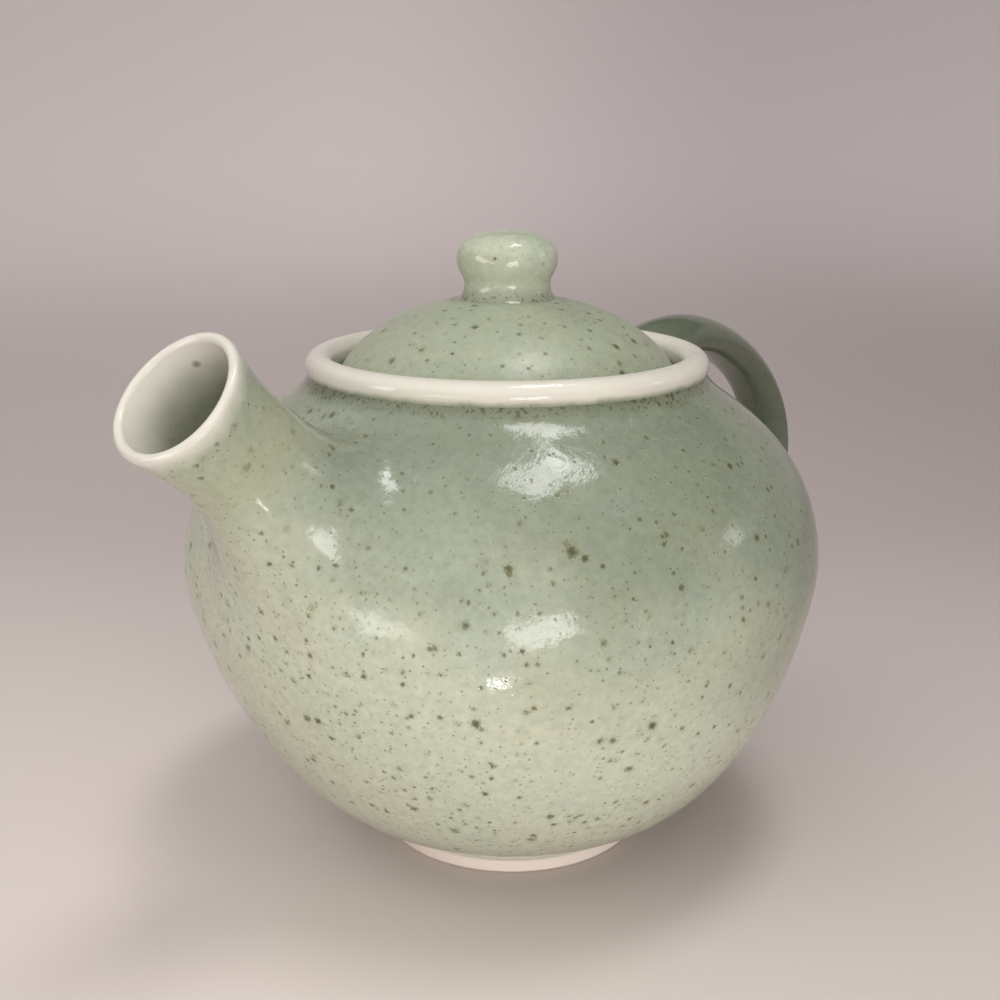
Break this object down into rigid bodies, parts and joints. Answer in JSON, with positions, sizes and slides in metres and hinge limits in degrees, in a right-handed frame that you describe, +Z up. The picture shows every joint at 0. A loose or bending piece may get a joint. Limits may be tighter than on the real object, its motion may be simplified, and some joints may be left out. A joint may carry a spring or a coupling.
{
  "type": "teapot",
  "caption": "Small round lidded teapot with a short flared spout, a pulled loop handle, a domed lid and a mushroom knob.",
  "frame": {"origin": "middle of the foot ring's resting face, on the axis that the pot was thrown on", "axes": "+Z up the thrown axis to the knob, -X towards the spout, +X towards the handle"},
  "size_m": [0.1869, 0.12, 0.1164],
  "materials": {
    "celadon_glaze": "gloss",
    "clear_glazed_porcelain": "gloss",
    "bare_porcelain": "matt"
  },
  "bodies": {
    "pot": {"pot_body": "celadon_glaze", "pot_shoulder": "celadon_glaze", "foot_ring": "bare_porcelain", "collar": "clear_glazed_porcelain", "spout": "celadon_glaze", "handle": "celadon_glaze"},
    "lid": {"lid_dome": "celadon_glaze", "lid_flange": "bare_porcelain", "lid_knob": "celadon_glaze"}
  },
  "joints": [
    {"name": "lid_lift", "type": "slide", "parent": "pot", "child": "lid", "axis": [0, 0, 1], "range_m": [0, 0.05]}
  ]
}
